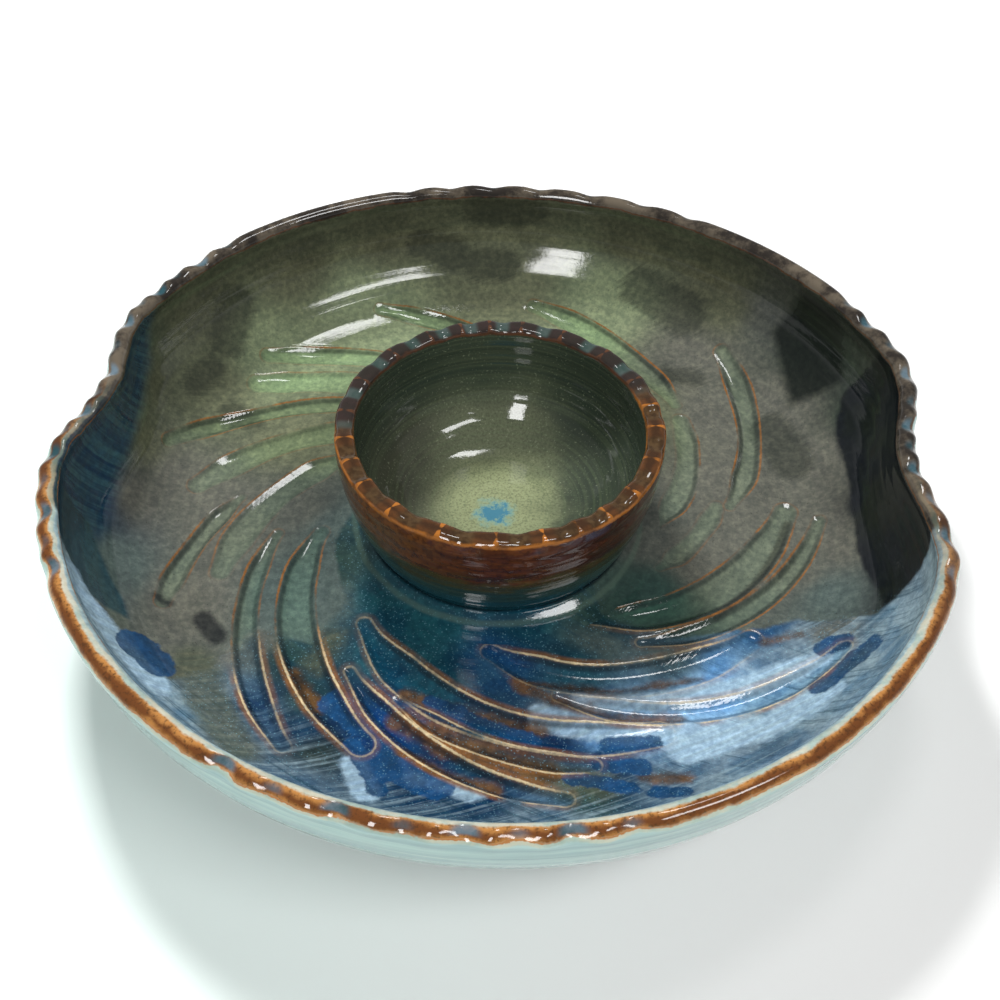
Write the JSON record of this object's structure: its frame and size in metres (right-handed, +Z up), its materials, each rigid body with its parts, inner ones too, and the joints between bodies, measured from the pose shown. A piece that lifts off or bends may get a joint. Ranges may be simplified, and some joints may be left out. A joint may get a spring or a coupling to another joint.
{
  "type": "chip and dip server",
  "caption": "Round glazed stoneware serving bowl with a smaller raised dip bowl joined to its floor, pushed-in handholds and a carved floor.",
  "frame": {"origin": "centre of the foot ring's resting face", "axes": "+Z up, +X toward the right handhold, +Y toward the back"},
  "size_m": [0.31, 0.317, 0.061],
  "materials": {
    "bowl_glaze": "gloss",
    "collar_glaze": "gloss",
    "dip_glaze": "gloss",
    "bare_clay": "matte"
  },
  "bodies": {
    "root": {"chip_bowl": "bowl_glaze", "join_collar": "collar_glaze", "dip_bowl": "dip_glaze", "foot_ring": "bare_clay"}
  },
  "joints": []
}
